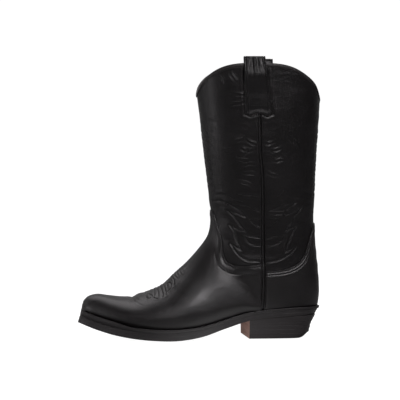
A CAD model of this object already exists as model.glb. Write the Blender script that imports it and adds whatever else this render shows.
"""Tall pull-on boot with a stitched shaft, side piping, pull straps and a stacked heel.

The toe points to -X and the heel to +X. The sole stands on Z = 0. The outer side of the
boot is -Y and faces the camera, the inner side is +Y. Shapes are worked out in millimetres
and turned into metres in make(). Materials, lights and camera are in metres.
"""
import math
import bpy
import numpy as np
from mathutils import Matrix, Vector
from mathutils.kdtree import KDTree


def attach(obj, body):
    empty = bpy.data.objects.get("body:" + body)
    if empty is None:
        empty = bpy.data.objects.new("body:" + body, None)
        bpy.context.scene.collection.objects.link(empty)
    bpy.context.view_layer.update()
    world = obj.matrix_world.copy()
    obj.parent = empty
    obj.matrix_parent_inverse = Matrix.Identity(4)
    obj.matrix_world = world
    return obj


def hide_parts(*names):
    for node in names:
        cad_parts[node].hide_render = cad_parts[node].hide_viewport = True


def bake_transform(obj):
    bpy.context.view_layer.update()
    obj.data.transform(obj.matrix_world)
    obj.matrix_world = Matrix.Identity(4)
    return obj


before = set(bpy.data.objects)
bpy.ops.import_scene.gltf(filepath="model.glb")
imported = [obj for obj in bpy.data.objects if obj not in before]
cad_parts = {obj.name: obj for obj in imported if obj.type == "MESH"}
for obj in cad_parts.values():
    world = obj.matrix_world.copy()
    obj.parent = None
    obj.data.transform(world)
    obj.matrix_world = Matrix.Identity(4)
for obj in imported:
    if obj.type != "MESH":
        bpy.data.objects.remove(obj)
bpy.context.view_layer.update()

DETAIL = 1.0


# ---------------------------------------------------------------- numbers and tables
def scaled(count):
    return int(count * DETAIL)


def even(count):
    return scaled(count) // 2 * 2


def step(x, start, end):
    """Smooth rise from 0 at start to 1 at end."""
    share = np.clip((np.asarray(x, float) - start) / (end - start), 0, 1)
    return share * share * (3 - 2 * share)


def bell(x, width, at=0.0):
    """Smooth bump of height 1 at the given place."""
    return np.exp(-((x - at) / width) ** 2)


def unit(vectors):
    return vectors / np.maximum(np.linalg.norm(vectors, axis=-1, keepdims=True), 1e-9)


def lookup(table, z):
    """Straight interpolation in a table of (key, value)."""
    return np.interp(z, *np.transpose(table))


def curve(table, x):
    """Catmull-Rom through evenly spaced entries of a table."""
    table = np.asarray(table, float)
    last = len(table) - 1
    x = np.clip(np.asarray(x, float), 0, last)
    i = np.minimum(np.floor(x).astype(int), last - 1)
    f = x - i
    if table.ndim == 2:
        f = f[..., None]
    before, here = table[np.maximum(i - 1, 0)], table[i]
    ahead, beyond = table[i + 1], table[np.minimum(i + 2, last)]
    return 0.5 * (2 * here + (ahead - before) * f
                  + (2 * before - 5 * here + 4 * ahead - beyond) * f * f
                  + (3 * here - before - 3 * ahead + beyond) * f ** 3)


def eased(table):
    """The same table at 1 mm steps with its kinks rounded off and its end slopes kept."""
    table = np.asarray(table, float)
    z = np.arange(table[0, 0] - 25, table[-1, 0] + 26)
    slope = np.diff(table[:, 1]) / np.diff(table[:, 0])
    value = lookup(table, z) + slope[0] * np.minimum(0, z - table[0, 0])
    value = value + slope[-1] * np.maximum(0, z - table[-1, 0])
    kernel = np.exp(-0.5 * (np.arange(-20, 21) / 5.0) ** 2)
    value = np.convolve(np.pad(value, 20, mode="edge"), kernel / kernel.sum(), mode="valid")
    return np.stack([z, value], -1)[25:-25]


# ---------------------------------------------------------------- shape of the boot
HALF_LENGTH = 151.0
RIM_Z = 338
RIM_ROW = 23
FULL_TURN = 0.998           # panels stop just short of the side seams at turn -1 and 1
TUCK = 0.42                 # rows of shaft hidden under the vamp
WELT_DEPTH = 4.1            # thicknesses before THINNING
MIDSOLE_DEPTH = 3.9
SOLE_DEPTH = 13.6
SHAFT_POWER = 2.35          # squareness of the shaft's plan curve

# One value for each of the 17 sole stations, 0 at the toe and 16 at the heel.
# Stations are cosine spaced along the length.
SOLE_HALF_WIDTH = [9.5, 15.2, 21.5, 28.8, 38.8, 47.2, 52.0, 51.6, 45.2, 37.0, 32.8, 32.6,
                   33.6, 32.4, 26.8, 16.6, 7]
LAST_HALF_WIDTH = [7.5, 12.3, 17.5, 24.2, 33.8, 42.2, 47.0, 46.8, 41.5, 34.5, 30.6, 30.8,
                   31.8, 30.6, 25.0, 15.0, 6]
CENTRE_Y = [7.2, 7.2, 7.2, 6.8, 5.7, 3.4, 0.8, -1.2, -2.2, -1.8, -0.8, -0.2, 0, 0, 0, 0, 0]
EDGE_Z = [34.5, 33.6, 30.2, 25.6, 21.0, 17.6, 15.7, 15.5, 18.4, 25.6, 33.0, 36.4, 38.2,
          38.9, 39.2, 39.3, 39.3]
THINNING = [0.97, 0.97, 0.98, 1, 1, 1, 1, 1, 0.93, 0.82] + [0.76] * 7

# Side seams: (height, value)
SEAM_X = eased([[30, 76.4], [64, 78], [112, 78], [180, 78], [210, 77.5], [234, 76.5],
                [278, 75.4], [347, 74.4]])
SEAM_TWIST = eased([[30, 1.6], [180, 1.8], [209, 2.7], [234, 5.3], [278, 7.8], [347, 11.2]])
# added to the outer seam only
SEAM_SHIFT = eased([[30, 0], [120, -0.3], [150, -0.9], [178, -1.3], [210, -1.7], [230, -1.1],
                    [245, -0.2], [265, 1.1], [285, 1.2], [312, 0], [347, 0]])
SEAM_Y = eased([[30, 30.6], [36, 31.6], [42, 33.6], [52, 35.6], [64, 36.6], [75, 36.6],
                [100, 35.4], [125, 35.0], [138, 35.8], [150, 37.4], [165, 39.6], [178, 41.4],
                [195, 43.4], [210, 45], [245, 47.8], [280, 49.5], [312, 50.4], [347, 51.1]])
# Back line and squareness of the back's plan curve: (height, value)
BACK_X = eased([[30, 147.4], [39, 148.8], [49, 150.2], [60, 150.7], [74, 150.0], [89, 148.8],
                [99, 147.6], [114, 146.2], [124, 145.4], [139, 145.0], [154, 145.2],
                [165, 145.9], [174, 146.5], [204, 147.0], [219, 147.8], [229, 148.2],
                [249, 149.5], [264, 150.6], [273, 151.4], [283, 152.1], [293, 152.5],
                [350, 152.5]])
BACK_POWER = [[30, 3.3], [60, 3.1], [100, 2.8], [180, 2.4], [350, 2.35]]

# Top edges, one value per 0.1 of turn from the middle to the side seam
COUNTER_TOP = [142, 141, 137.5, 130.5, 120.5, 108.5, 98.5, 91.8, 87.8, 85.5, 84.5]  # heights
VAMP_TOP = [16.2, 16.15, 15.9, 14.85, 14.1, 12.5, 12.7, 13.3, 13.85, 14.3, 14.7]    # rows

# Rows of the front skin: 0 to 12 end on the sole, 13 to 23 end on the side seam
FOOT_STATIONS = [0, 0.8, 1.6, 2.56, 3.52, 4.48, 5.28, 6.08, 7.04, 8, 8.96, 9.92, 10.79]
SEAM_HEIGHTS = [52, 75, 100, 125, 150, 178, 210, 245, 280, 312, 338]
# middle line of each row: (x, z)
RIDGE = [[-144.9, 42], [-143.2, 46.3], [-137, 51.5], [-126.4, 53.8], [-112.5, 52.2],
         [-95, 50.3], [-79.5, 51.2], [-63.5, 57], [-46, 65], [-30, 80], [-14.5, 94.5],
         [-1, 109.8], [6.4, 119.4], [10.9, 127.2], [13.3, 135.9], [14.1, 146], [13.2, 156],
         [11.2, 168], [9.6, 186], [7.2, 208], [3.6, 238], [0.7, 262], [-2.0, 283],
         [-4.7, 301]]
RIDGE_Y = [7.2, 7.2, 7.2, 7.2, 7.2, 7, 6.8, 6.2, 5, 3.8, 2.8, 1.8, 1, 0.4, 0] + [0] * 9
# squareness of each row
BOW = [2.6, 2.5, 2.4, 2.3, 2.2, 2.1, 2.05, 2.0, 1.95, 1.9, 1.9, 1.95, 2.0, 2.0, 2.05, 2.1,
       2.15, 2.2, 2.25, 2.3, 2.35, 2.35, 2.35, 2.35]
# rows 0 to 12: widest half width, and how far down the row it lies
WIDEST = [7.8, 12.2, 17.6, 24.6, 33.4, 41.4, 46.4, 49.0, 48.6, 45.8, 41.3, 37.8, 35.6]
WIDEST_DOWN = [0.80, 0.76, 0.74, 0.74, 0.74, 0.73, 0.72, 0.72, 0.72, 0.74, 0.79, 0.86, 0.94]


def x_at_station(station, toe_x, heel_x):
    return toe_x + (heel_x - toe_x) * (1 - np.cos(np.pi / 16 * np.asarray(station, float))) / 2


def station_at(x):
    share = np.clip((np.asarray(x, float) + HALF_LENGTH) / (2 * HALF_LENGTH), 0, 1)
    return np.arccos(1 - 2 * share) * 16 / np.pi


def sole_half_width(x):
    return curve(SOLE_HALF_WIDTH, station_at(x))


def centre_y(x):
    return curve(CENTRE_Y, station_at(x))


def sole_top(x, y):
    """Dished top of the sole, shallower towards the heel."""
    dish = 2.2 * (1 - 0.55 * np.clip((np.asarray(x, float) - 10) / 60, 0, 1))
    across = np.minimum(1, np.abs((y - centre_y(x)) / sole_half_width(x)))
    return curve(EDGE_Z, station_at(x)) - dish * (1 - across ** 2)


def below_top(x, y, depth, gap=0.0):
    return sole_top(x, y) - depth * curve(THINNING, station_at(x)) - gap


def sole_bottom(x, y):
    return np.maximum(0, below_top(x, y, SOLE_DEPTH, 0.2))


def seam_offset(z, side):
    return side * lookup(SEAM_TWIST, z) + np.where(np.asarray(side) < 0, lookup(SEAM_SHIFT, z), 0)


def seam_x(z, side):
    return lookup(SEAM_X, z) + seam_offset(z, side)


def front_rows():
    """Controls of each row, in the order front_skin unpacks them."""
    foot_x = x_at_station(FOOT_STATIONS, -144.5, 147.5)
    foot_y = curve(CENTRE_Y, FOOT_STATIONS)
    foot_half = curve(LAST_HALF_WIDTH, FOOT_STATIONS)
    foot_z = sole_top(foot_x, foot_y + foot_half) + 0.8
    foot_z[0] += 0.8
    seam_y = lookup(SEAM_Y, SEAM_HEIGHTS)
    count = len(SEAM_HEIGHTS)
    return np.column_stack([
        RIDGE,
        np.r_[foot_x, lookup(SEAM_X, SEAM_HEIGHTS)],
        np.r_[foot_z, SEAM_HEIGHTS],
        np.r_[WIDEST, seam_y],
        np.r_[foot_half, seam_y],
        np.r_[WIDEST_DOWN, np.ones(count)],
        BOW,
        RIDGE_Y,
        np.r_[foot_y, np.zeros(count)],
        np.interp(np.arange(len(RIDGE)), [20, 21, 22, 23], [1, 1.5, 2.2, 3])])


ROWS = front_rows()


def front_skin(row, turn, inset):
    """Vamp and shaft front. Row runs from the toe up to the rim. Turn is -1 at the outer
    edge, 0 in the middle and 1 at the inner edge."""
    row, turn, inset = np.broadcast_arrays(*(np.asarray(v, float) for v in (row, turn, inset)))
    (ridge_x, ridge_z, edge_x, edge_z, widest, edge_half, low, bow, ridge_y, edge_y,
     sweep) = np.moveaxis(curve(ROWS, row), -1, 0)
    along = unit(curve(RIDGE, row + 0.06) - curve(RIDGE, row - 0.06))
    side = np.where(turn < 0, -1, 1)
    ridge_x = ridge_x + inset * along[..., 1]
    ridge_z = ridge_z - inset * along[..., 0]
    edge_x = edge_x + inset * np.maximum(0, 1 - row / 3)
    edge_x = edge_x + seam_offset(edge_z, side) * np.clip(row - 11, 0, 1)
    widest = widest - inset
    edge_half = edge_half - inset
    low = np.minimum(1, low)
    # a round part down to the widest place, then a tail that turns in to the edge
    turning = 1 - 0.8 * (1 - low)
    away = np.abs(turn)
    angle = np.radians(90 * np.minimum(1, away / turning))
    tail = (away - turning) / np.maximum(1e-6, 1 - turning)
    cosine = np.abs(np.cos(angle)) ** (2 / bow)
    sine = np.abs(np.sin(angle)) ** (2 / bow)
    is_round = away < turning
    down = np.where(is_round, low * (1 - cosine), low + (1 - low) * tail)
    half = np.where(is_round, widest * sine, widest - (widest - edge_half) * tail ** 2)
    sweep = np.maximum(1, sweep)
    drop = np.maximum(0, 1 - np.maximum(1 - down, 0) ** sweep) ** (1.2 - 0.2 * sweep)
    return np.stack([ridge_x + (edge_x - ridge_x) * down,
                     ridge_y + (edge_y - ridge_y) * down + side * half,
                     ridge_z + (edge_z - ridge_z) * drop], -1)


def rear_skin(z, turn, inset):
    """Counter and shaft back at height z; turn as in front_skin."""
    z, turn, inset = np.broadcast_arrays(*(np.asarray(v, float) for v in (z, turn, inset)))
    angle = np.radians(90 * np.abs(turn))
    power = 2 / lookup(BACK_POWER, z)
    side = np.where(turn < 0, -1, 1)
    start = seam_x(z, side)
    x = start + (lookup(BACK_X, z) - inset - start) * np.abs(np.cos(angle)) ** power
    y = side * (lookup(SEAM_Y, z) - inset) * np.abs(np.sin(angle)) ** power
    return np.stack([x, y, z], -1)


def rear_rim(turn):
    """Height of the back rim, with a fuller corner where it turns down to the back."""
    corner = np.abs(turn) - 0.31
    dip = 42.5 * np.abs(np.cos(np.radians(90 * np.abs(turn)))) ** (2 / SHAFT_POWER * 3.6)
    return RIM_Z - dip + 3.6 * bell(corner, np.where(corner > 0, 0.155, 0.115))


def front_rim(turn):
    return np.full_like(turn, float(RIM_ROW))


def vamp_top(turn):
    return curve(VAMP_TOP, 10 * np.abs(turn))


def counter_top(turn):
    return curve(COUNTER_TOP, 10 * np.abs(turn))


def counter_foot(turn):
    seat = rear_skin(39, turn, 0)
    return sole_top(seat[..., 0], seat[..., 1]) + 0.8


def shaft_round(offset):
    """Share of the full half width left at a distance in x from the side seam."""
    radius = np.where(offset < 0, 71, 84)
    return (1 - (np.abs(offset) / radius) ** SHAFT_POWER) ** (1 / SHAFT_POWER)


# ---------------------------------------------------------------- noise, lines and distances
GRADIENTS = unit(np.random.default_rng(5).normal(size=(1024, 3)))
HASH = np.array([73856093, 19349663, 83492791])


def noise(points, cell, seed=0):
    """Gradient noise, about -0.6..0.6, with cells of the given size in mm."""
    points = np.asarray(points, float) / cell + seed * 17.31
    corner = np.floor(points).astype(np.int64)
    within = points - corner
    fade = within ** 3 * (within * (within * 6 - 15) + 10)
    total = np.zeros(points.shape[:-1])
    for shift in np.ndindex(2, 2, 2):
        mixed = np.bitwise_xor.reduce((corner + shift) * HASH, axis=-1) & 1023
        weight = np.where(shift, fade, 1 - fade).prod(-1)
        total += weight * (GRADIENTS[mixed] * (within - shift)).sum(-1)
    return total


def noises(points, *layers):
    """Sum of noise layers, each (height, cell size, seed)."""
    return sum(height * noise(points, cell, seed) for height, cell, seed in layers)


def normals(grid):
    """Unit normals of a grid of points; they face out on the front and in on the back."""
    return unit(np.cross(np.gradient(grid, axis=0), np.gradient(grid, axis=1)))


def lengths(points):
    return np.r_[0, np.cumsum(np.linalg.norm(np.diff(points, axis=0), axis=1))]


def along(distance, travelled, points):
    return np.stack([np.interp(distance, travelled, column) for column in points.T], -1)


def resample(points, gap):
    """Points along a polyline at about equal gaps."""
    travelled = lengths(points)
    count = max(2, int(round(travelled[-1] / gap)) + 1)
    return along(np.linspace(0, travelled[-1], count), travelled, points)


def smooth_line(points):
    """Catmull-Rom through a short list of (level, turn), as two arrays."""
    spans = len(points) - 1
    return curve(points, np.linspace(0, spans, 14 * spans + 1)).T


def both(lines):
    return lines + [[(level, -turn) for level, turn in line] for line in lines]


def on_skin(lines, skin, inset):
    return [skin(*smooth_line(line), inset) for line in lines]


def tree(points):
    kd = KDTree(len(points))
    for i, point in enumerate(points):
        kd.insert(point, i)
    kd.balance()
    return kd


def nearest(grid, targets, margin):
    """Distance and index of the nearest target; grid points far from them all get 60."""
    flat = grid.reshape(-1, 3)
    inside = (flat > targets.min(0) - margin) & (flat < targets.max(0) + margin)
    kd = tree(targets)
    gap = np.full(len(flat), 60.0)
    index = np.zeros(len(flat), int)
    for i in np.nonzero(inside.all(1))[0]:
        _, index[i], gap[i] = kd.find(flat[i])
    return gap.reshape(grid.shape[:-1]), index.reshape(grid.shape[:-1])


def distances(grid, lines):
    targets = np.concatenate([resample(line, 0.8) for line in lines])
    return nearest(grid, targets, 25)[0]


# ---------------------------------------------------------------- meshes
def quads(first, second):
    """Faces first[j], first[j+1], second[j+1], second[j] between rows of indices."""
    corners = [first[..., :-1], first[..., 1:], second[..., 1:], second[..., :-1]]
    return np.stack(corners, -1).reshape(-1, 4).tolist()


def walls(first, second):
    """Faces first[j], second[j], second[j+1], first[j+1] between rows of indices."""
    corners = [first[..., :-1], second[..., :-1], second[..., 1:], first[..., 1:]]
    return np.stack(corners, -1).reshape(-1, 4).tolist()


def closed(rows):
    return np.concatenate([rows, rows[..., :1]], -1)


def make(name, points, faces, *materials, smooth=True):
    """Mesh object from points in mm."""
    mesh = bpy.data.meshes.new(name)
    mesh.from_pydata((np.asarray(points, float) * 0.001).tolist(), [], faces)
    mesh.validate()
    ob = bpy.data.objects.new(name, mesh)
    bpy.context.scene.collection.objects.link(ob)
    for material in materials:
        mesh.materials.append(material)
    if smooth:
        mesh.polygons.foreach_set("use_smooth", [True] * len(mesh.polygons))
    mesh.update()
    return ob


def face_out(ob):
    """Turns every face round if the closed mesh has a negative volume."""
    mesh = ob.data
    mesh.calc_loop_triangles()
    points = np.array([v.co for v in mesh.vertices])
    a, b, c = points[np.array([t.vertices for t in mesh.loop_triangles])].transpose(1, 0, 2)
    if (a * np.cross(b, c)).sum() < 0:
        mesh.flip_normals()
    return ob


NOSE_RINGS = 7


def nose_rings(edge, reach):
    """Rings that shrink from the front edge of a skin onto a rounded nose."""
    middle = len(edge) // 2
    floor = edge[0, 2]
    centre = np.array([edge[:, 0].mean(), edge[middle, 1],
                       floor + (edge[middle, 2] - floor) * 0.45])
    rings = []
    for count in range(1, NOSE_RINGS + 1):
        size = 1 - count / (NOSE_RINGS + 0.001)
        ring = centre + (edge - centre) * size
        ring[:, 0] -= reach * math.sqrt(1 - size * size)
        if count < NOSE_RINGS:
            ring[:, 2] = np.maximum(ring[:, 2], floor)
            ring[[0, -1], 2] = floor
        rings.append(ring)
    return rings


def shell(name, outer, inner, *materials, nose=False):
    """Closed skin between two grids; nose rounds off the first row instead of walling it."""
    front = np.arange(outer[..., 0].size).reshape(outer.shape[:2])
    back = front + front.size
    points = [outer.reshape(-1, 3), inner.reshape(-1, 3)]
    faces = quads(front[:-1], front[1:]) + quads(back[1:], back[:-1])
    faces += quads(front[:, 0], back[:, 0]) + quads(back[:, -1], front[:, -1])
    faces += quads(front[-1], back[-1])
    if nose:
        points += nose_rings(outer[0], 1.1) + nose_rings(inner[0], 0.9)
        ring_ids = 2 * front.size + np.arange(2 * NOSE_RINGS * front.shape[1])
        ring_ids = ring_ids.reshape(2, NOSE_RINGS, -1)
        rows = np.vstack([front[:1], ring_ids[0]])
        faces += quads(rows[1:], rows[:-1])
        rows = np.vstack([back[:1], ring_ids[1]])
        faces += quads(rows[:-1], rows[1:])
    else:
        faces += walls(front[0], back[0])
    return face_out(make(name, np.concatenate(points), faces, *materials))


# rounded wall of a slab: (share of the way down, share of the bulge)
ROUND_WALL = ((0.07, 0.7), (0.2, 1), (0.8, 1), (0.93, 0.7))


def solid(name, top, bottom, material, bulge, wall=ROUND_WALL, front_material=None, outset=None):
    """Closed slab between two grids, its wall standing proud of both rims by the bulge.
    outset adds a push for each rim point and share of the way down."""
    ids = np.arange(top[..., 0].size).reshape(top.shape[:2])
    rim = np.concatenate([ids[0], ids[1:, -1], ids[-1, -2::-1], ids[-2:0:-1, 0]])
    high = top.reshape(-1, 3)[rim]
    low = bottom.reshape(-1, 3)[rim]
    middle = (high + low) / 2
    tangent = np.roll(middle, -1, 0) - np.roll(middle, 1, 0)
    out = unit(tangent[:, [1, 0, 2]] * [1, -1, 0])
    if ((middle - middle.mean(0)) * out).sum() < 0:
        out = -out
    points = [top.reshape(-1, 3), bottom.reshape(-1, 3)]
    for down, share in wall:
        push = bulge * share + (outset(middle, down) if outset else 0)
        points.append(high + (low - high) * down + out * np.reshape(push, (-1, 1)))
    faces = quads(ids[:-1], ids[1:]) + quads(ids[1:] + ids.size, ids[:-1] + ids.size)
    flat_count = len(faces)
    between = 2 * ids.size + np.arange(len(wall) * len(rim)).reshape(-1, len(rim))
    rings = closed(np.vstack([rim, between, rim + ids.size]))
    faces += walls(rings[:-1], rings[1:])
    if front_material is None:
        return face_out(make(name, np.concatenate(points), faces, material))
    ob = make(name, np.concatenate(points), faces, material, front_material)
    front_count = ids.shape[1] - 1
    ring = [1] * front_count + [0] * (len(rim) - front_count)
    ob.data.polygons.foreach_set("material_index", [0] * flat_count + ring * (len(wall) + 1))
    return face_out(ob)


# one stitch: share along it and thickness at each of its six rings
STITCH_ALONG = np.array([0, 0.12, 0.35, 0.65, 0.88, 1.0])
STITCH_SIZE = np.array([0.35, 0.85, 1, 1, 0.85, 0.35])
STITCH_SUNK = -0.28


def stitches(name, runs, length=2.3, gap=0.75, radius=0.3, lift=0.12):
    """One small stitch after another along each run of (points, normals)."""
    ids = np.arange(36).reshape(6, 6)
    rings = closed(ids)
    pattern = quads(rings[:-1], rings[1:]) + [ids[0, ::-1].tolist(), ids[-1].tolist()]
    rise = np.array([STITCH_SUNK, 0.0, lift, lift, 0.0, STITCH_SUNK])
    angle = np.arange(6)[:, None] * math.pi / 3
    points, faces = [], []
    for line, line_normals in runs:
        line = np.asarray(line, float)
        line_normals = np.asarray(line_normals, float)
        travelled = lengths(line)
        if travelled[-1] < length:
            continue
        for start in np.arange(0.3, travelled[-1] - length, length + gap):
            centre = along(start + STITCH_ALONG * length, travelled, line)
            up = unit(along(start + length / 2, travelled, line_normals))
            across = unit(np.cross(unit(centre[-1] - centre[0]), up))
            ring = np.cos(angle) * across + 0.8 * np.sin(angle) * up
            stitch = centre[:, None, :] + up * rise[:, None, None]
            stitch = stitch + ring * (radius * STITCH_SIZE)[:, None, None]
            base = 36 * len(points)
            points.append(stitch.reshape(-1, 3))
            faces += [[base + i for i in face] for face in pattern]
    return make(name, np.concatenate(points), faces, THREAD)


def upper(ob, slot, *nodes):
    """A piece of the upper: foot below the ankle, shaft above it, bending in between."""
    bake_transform(ob)
    if nodes:
        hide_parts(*nodes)


def rides(ob, body, slot, *nodes):
    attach(ob, body)
    if nodes:
        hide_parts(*nodes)


# ---------------------------------------------------------------- materials
class Shader:
    """A material under construction. place is the object-space position."""

    def __init__(self, name):
        self.material = bpy.data.materials.new(name)
        self.material.use_nodes = True
        self.tree = self.material.node_tree
        self.tree.nodes.clear()
        output = self.node("OutputMaterial")
        self.surface = self.node("BsdfPrincipled")
        self.put(self.surface.outputs[0], output.inputs[0])
        self.place = self.node("TexCoord").outputs["Object"]

    def node(self, kind):
        return self.tree.nodes.new("ShaderNode" + kind)

    def put(self, value, socket):
        """Links a socket or sets a plain value."""
        if isinstance(value, bpy.types.NodeSocket):
            self.tree.links.new(value, socket)
        else:
            socket.default_value = value

    def set(self, name, value):
        self.put(value, self.surface.inputs[name])

    def noise(self, vector, scale, **settings):
        node = self.node("TexNoise")
        self.put(vector, node.inputs["Vector"])
        self.put(scale, node.inputs["Scale"])
        for key, value in settings.items():
            self.put(value, node.inputs[key])
        return node.outputs[0]

    def stretched(self, scale):
        node = self.node("Mapping")
        self.put(self.place, node.inputs[0])
        self.put(scale, node.inputs["Scale"])
        return node.outputs[0]

    def ramp(self, source, low, dark, high, light):
        node = self.node("ValToRGB")
        self.put(source, node.inputs[0])
        ends = zip(node.color_ramp.elements, (low, high), (dark, light))
        for element, position, color in ends:
            element.position = position
            element.color = (*color, 1)
        return node.outputs[0]

    def math(self, operation, a, b):
        node = self.node("Math")
        node.operation = operation
        self.put(a, node.inputs[0])
        self.put(b, node.inputs[1])
        return node.outputs[0]

    def bump(self, *layers):
        """Stacked bumps, each (height, strength, distance)."""
        last = None
        for height, strength, distance in layers:
            node = self.node("Bump")
            self.put(strength, node.inputs["Strength"])
            self.put(distance, node.inputs["Distance"])
            self.put(height, node.inputs["Height"])
            if last is not None:
                self.put(last, node.inputs["Normal"])
            last = node.outputs[0]
        self.set("Normal", last)


BLACK_POINT = (0, 0, 0)
WHITE_POINT = (1, 1, 1)


def leather(name, dark, light, rough, grain=1500, grain_depth=0.00009, crease=0.00025,
            coat=0.0, spec=0.5, scuff=None):
    """Blotchy leather with pores and fine creases. rough is (low, high) and scuff is
    (color, strength); grain is a texture scale, the depths are in metres."""
    shader = Shader(name)
    blotches = shader.noise(shader.place, 22, Detail=6.0, Roughness=0.6)
    fine = shader.noise(shader.place, 420, Detail=3.0, Roughness=0.6)
    cells = shader.node("TexVoronoi")
    shader.put(shader.place, cells.inputs["Vector"])
    cells.inputs["Scale"].default_value = grain
    cells.feature = "DISTANCE_TO_EDGE"
    folds = shader.noise(shader.place, 150, Detail=5.0, Roughness=0.65, Distortion=1.2)
    color = shader.ramp(blotches, 0.32, dark, 0.7, light)
    if scuff:
        worn_color, strength = scuff
        wear = shader.noise(shader.place, 60, Detail=9.0, Roughness=0.72, Distortion=0.6)
        mask = shader.ramp(wear, 0.60, BLACK_POINT, 0.74, WHITE_POINT)
        mix = shader.node("Mix")
        mix.data_type = "RGBA"
        shader.put(shader.math("MULTIPLY", mask, strength), mix.inputs["Factor"])
        shader.put(color, mix.inputs["A"])
        mix.inputs["B"].default_value = (*worn_color, 1)
        color = mix.outputs["Result"]
    shader.set("Base Color", color)
    low, high = rough
    blotchy = shader.math("MULTIPLY", blotches, (high - low) * 1.3)
    blotchy = shader.math("ADD", blotchy, low - 0.1)
    speckle = shader.math("MULTIPLY", fine, 0.16)
    shader.set("Roughness", shader.math("ADD", blotchy, speckle))
    shader.set("Specular IOR Level", spec)
    shader.set("Coat Weight", coat)
    shader.set("Coat Roughness", 0.25)
    pores = shader.ramp(cells.outputs["Distance"], 0.0, BLACK_POINT, 0.12, WHITE_POINT)
    shader.bump((folds, 0.5, crease), (pores, 0.5, grain_depth), (fine, 0.35, grain_depth * 1.5))
    return shader.material


def layered(name, dark, light, period, rough, depth):
    """Thin level bands with some grain. period and depth are in metres."""
    shader = Shader(name)
    bands = shader.noise(shader.stretched((12, 12, 1 / period)), 1.0, Detail=6.0, Roughness=0.7)
    grain = shader.noise(shader.place, 300, Detail=4.0, Roughness=0.6)
    band_part = shader.math("MULTIPLY", bands, 0.75)
    grain_part = shader.math("MULTIPLY", grain, 0.25)
    mixed = shader.math("ADD", band_part, grain_part)
    shader.set("Base Color", shader.ramp(mixed, 0.35, dark, 0.65, light))
    uneven = shader.math("MULTIPLY", grain, 0.2)
    shader.set("Roughness", shader.math("ADD", uneven, rough - 0.1))
    shader.set("Specular IOR Level", 0.35)
    shader.bump((bands, 0.5, depth), (grain, 0.4, depth * 0.5))
    return shader.material


def metal(name, base, rough):
    """Metal brushed along X."""
    shader = Shader(name)
    brushed = shader.noise(shader.stretched((8, 300, 300)), 4.0, Detail=5.0, Roughness=0.6)
    dark = tuple(c * 0.75 for c in base)
    shader.set("Base Color", shader.ramp(brushed, 0.3, dark, 0.7, base))
    shader.set("Metallic", 1.0)
    uneven = shader.math("MULTIPLY", brushed, 0.25)
    shader.set("Roughness", shader.math("ADD", uneven, rough - 0.1))
    shader.bump((brushed, 0.3, 0.0001))
    return shader.material


BLACK = leather("black_leather", dark=(0.0064, 0.0055, 0.0058), light=(0.0128, 0.0110, 0.0116),
                rough=(0.295, 0.42), coat=0.17, scuff=((0.035, 0.030, 0.029), 0.35))
SHAFT = leather("shaft_leather", dark=(0.0040, 0.0034, 0.0037), light=(0.0085, 0.0072, 0.0078),
                rough=(0.27, 0.41), crease=0.0005, coat=0.05, spec=0.42,
                scuff=((0.03, 0.026, 0.026), 0.25))
PIPING = leather("piping_leather", dark=(0.0050, 0.0045, 0.0048),
                 light=(0.0085, 0.0075, 0.0078), rough=(0.27, 0.38), grain=1900,
                 crease=0.0001, coat=0.15)
STRAP = leather("strap_leather", dark=(0.0036, 0.0031, 0.0035), light=(0.0070, 0.0060, 0.0066),
                rough=(0.26, 0.38), coat=0.06, spec=0.42, crease=0.0002,
                scuff=((0.04, 0.035, 0.034), 0.3))
BINDING = leather("binding_leather", dark=(0.012, 0.010, 0.010), light=(0.035, 0.030, 0.030),
                  rough=(0.34, 0.5), scuff=((0.20, 0.17, 0.16), 0.6))
THREAD = leather("waxed_thread", dark=(0.006, 0.0055, 0.006), light=(0.012, 0.011, 0.0115),
                 rough=(0.33, 0.45), grain=2600, crease=0.00005)
LINING = leather("lining_leather", dark=(0.085, 0.012, 0.010), light=(0.15, 0.024, 0.020),
                 rough=(0.6, 0.8), spec=0.25, crease=0.0003,
                 scuff=((0.05, 0.012, 0.010), 0.5))
FOOT_LINING = leather("foot_lining_leather", dark=(0.17, 0.085, 0.05), light=(0.27, 0.15, 0.09),
                      rough=(0.62, 0.82), spec=0.25, scuff=((0.10, 0.06, 0.04), 0.5))
STIFFENER = leather("stiffener_board", dark=(0.34, 0.23, 0.13), light=(0.46, 0.33, 0.20),
                    rough=(0.75, 0.9), spec=0.2, grain=700)
INSOLE = leather("insole_leather", dark=(0.30, 0.18, 0.10), light=(0.45, 0.29, 0.17),
                 rough=(0.6, 0.8), spec=0.25, scuff=((0.12, 0.07, 0.045), 0.6))
SOLE_EDGE = leather("sole_edge", dark=(0.0190, 0.0172, 0.0178), light=(0.0300, 0.0270, 0.0280),
                    rough=(0.36, 0.5), grain=900, crease=0.00012, coat=0.05,
                    scuff=((0.05, 0.043, 0.04), 0.35))
TREAD = leather("sole_underside", dark=(0.020, 0.015, 0.013), light=(0.050, 0.038, 0.030),
                rough=(0.55, 0.8), spec=0.3, grain=800, crease=0.0003,
                scuff=((0.16, 0.11, 0.08), 0.7))
BREAST = layered("raw_breast", dark=(0.45, 0.24, 0.19), light=(0.66, 0.42, 0.36),
                 period=0.0011, rough=0.68, depth=0.00025)
STACK = layered("waxed_stack", dark=(0.0355, 0.0322, 0.0336), light=(0.0420, 0.0382, 0.0394),
                period=0.0022, rough=0.42, depth=0.00002)
RUBBER = layered("heel_rubber", dark=(0.031, 0.028, 0.029), light=(0.040, 0.036, 0.037),
                 period=0.002, rough=0.55, depth=0.00012)
CORK = leather("cork", dark=(0.22, 0.13, 0.06), light=(0.42, 0.27, 0.14), rough=(0.8, 0.95),
               spec=0.15, grain=400, grain_depth=0.0003)
WOOD = layered("peg_wood", dark=(0.48, 0.31, 0.16), light=(0.68, 0.49, 0.28),
               period=0.0006, rough=0.6, depth=0.0001)
STEEL = metal("shank_steel", base=(0.55, 0.56, 0.58), rough=0.35)
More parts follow.
